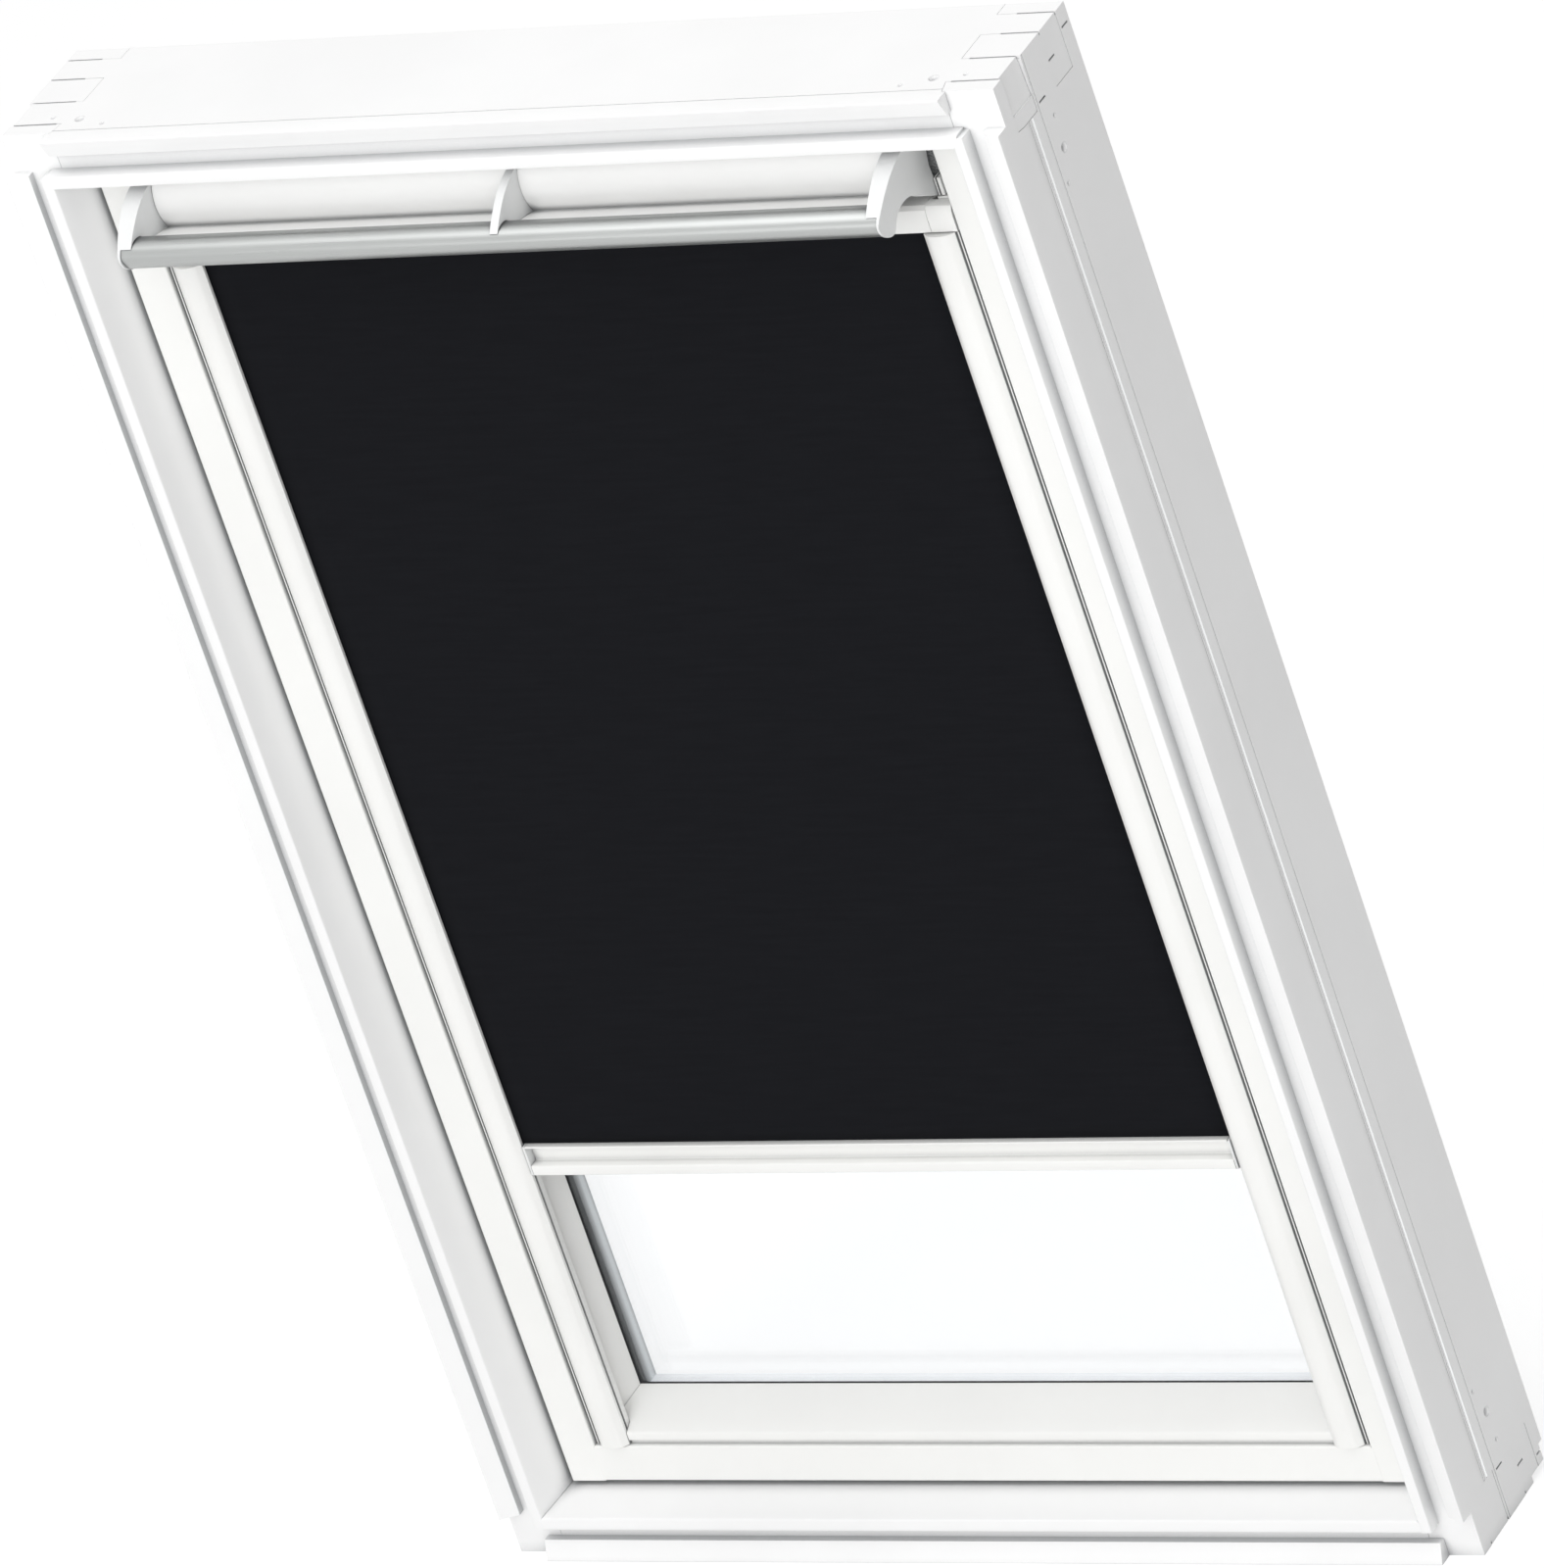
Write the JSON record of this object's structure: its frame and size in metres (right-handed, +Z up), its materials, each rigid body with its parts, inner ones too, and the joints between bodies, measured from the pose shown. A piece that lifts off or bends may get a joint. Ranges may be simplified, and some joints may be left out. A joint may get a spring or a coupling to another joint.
{
  "type": "roof window with blackout roller blind",
  "caption": "Centre-pivot roof window with a finger-jointed white frame, vent flap with control bar, and a black roller blind running in side guides.",
  "frame": {"origin": "Middle of the frame's flat bottom face, halfway between the room-side lips and the outside face of the frame; this is the roof_bottom mount.", "axes": "+X to the right as seen from the room, +Y from the room towards the outside, +Z up along the slope of the roof from the bottom member to the top member."},
  "size_m": [0.78, 0.1658, 1.178],
  "materials": {
    "frame_paint": "white painted, satin",
    "sash_paint": "white painted, satin",
    "cover_grey": "grey lacquered, matt",
    "steel_zinc": "zinc plated",
    "rubber_black": "matt",
    "filter_grey": "matt open-cell",
    "glass": "clear",
    "spacer_dark": "matt",
    "flap_white": "satin",
    "bar_aluminium": "brushed and anodised",
    "bracket_grey": "satin",
    "blind_white": "white powder coat, satin",
    "seal_grey": "matt, soft",
    "fabric_black": "matt blackout cloth",
    "plastic_black": "matt"
  },
  "bodies": {
    "frame": {"frame_side_left": "frame_paint", "frame_side_right": "frame_paint", "frame_top": "frame_paint", "frame_bottom": "frame_paint", "frame_seal": "rubber_black", "frame_cover_top": "cover_grey", "frame_cover_bottom": "cover_grey", "frame_cover_left": "cover_grey", "frame_cover_right": "cover_grey", "pivot_plate_left": "steel_zinc", "pivot_plate_right": "steel_zinc", "latch_keeper": "steel_zinc"},
    "sash": {"sash_side_left": "sash_paint", "sash_side_right": "sash_paint", "sash_top": "sash_paint", "sash_bottom": "sash_paint", "glass_inner": "glass", "glass_outer": "glass", "glass_gasket": "rubber_black", "glass_spacer": "spacer_dark", "sash_cover_top": "cover_grey", "sash_cover_bottom": "cover_grey", "sash_cover_left": "cover_grey", "sash_cover_right": "cover_grey", "pivot_bush_left": "plastic_black", "pivot_bush_right": "plastic_black", "hinge_lug_left": "steel_zinc", "hinge_lug_right": "steel_zinc", "vent_filter": "filter_grey", "latch_case": "steel_zinc", "blind_box": "blind_white", "blind_end_left": "blind_white", "blind_end_right": "blind_white", "blind_mount_left": "blind_white", "blind_mount_right": "blind_white", "guide_left": "blind_white", "guide_right": "blind_white", "guide_seal_left": "seal_grey", "guide_seal_right": "seal_grey", "blind_fabric": "fabric_black"},
    "vent_bar": {"vent_flap": "flap_white", "control_bar": "bar_aluminium", "bracket_left": "bracket_grey", "bracket_middle": "bracket_grey", "bracket_right": "bracket_grey"},
    "latch": {"latch_bolt": "steel_zinc"},
    "roller": {"roller_tube": "bar_aluminium", "fabric_roll": "fabric_black"},
    "blind_bar": {"hem_bar": "blind_white", "hem_cap_left": "bracket_grey", "hem_cap_right": "bracket_grey"}
  },
  "joints": [
    {"name": "sash_tilt", "type": "hinge", "parent": "frame", "child": "sash", "pos_m": [0, 0.0063, 0.589], "axis": [1, 0, 0], "range_deg": [0, 160]},
    {"name": "bar_pull", "type": "hinge", "parent": "sash", "child": "vent_bar", "pos_m": [0, -0.0185, 1.09], "axis": [1, 0, 0], "range_deg": [0, 30]},
    {"name": "latch_travel", "type": "slide", "parent": "sash", "child": "latch", "axis": [0, 0, -1], "range_m": [0, 0.006]},
    {"name": "blind_travel", "type": "slide", "parent": "sash", "child": "blind_bar", "axis": [0, 0, 1], "range_m": [-0.215, 0.725], "deforming": ["blind_fabric"]},
    {"name": "roller_turn", "type": "hinge", "parent": "sash", "child": "roller", "pos_m": [0, -0.0164, 1.06725], "axis": [1, 0, 0], "range_deg": [-5445, 1615]}
  ],
  "couplings": [
    {"joint": "latch_travel", "follows": "bar_pull", "m_per_rad": 0.0114},
    {"joint": "roller_turn", "follows": "blind_travel", "rad_per_m": -131}
  ]
}
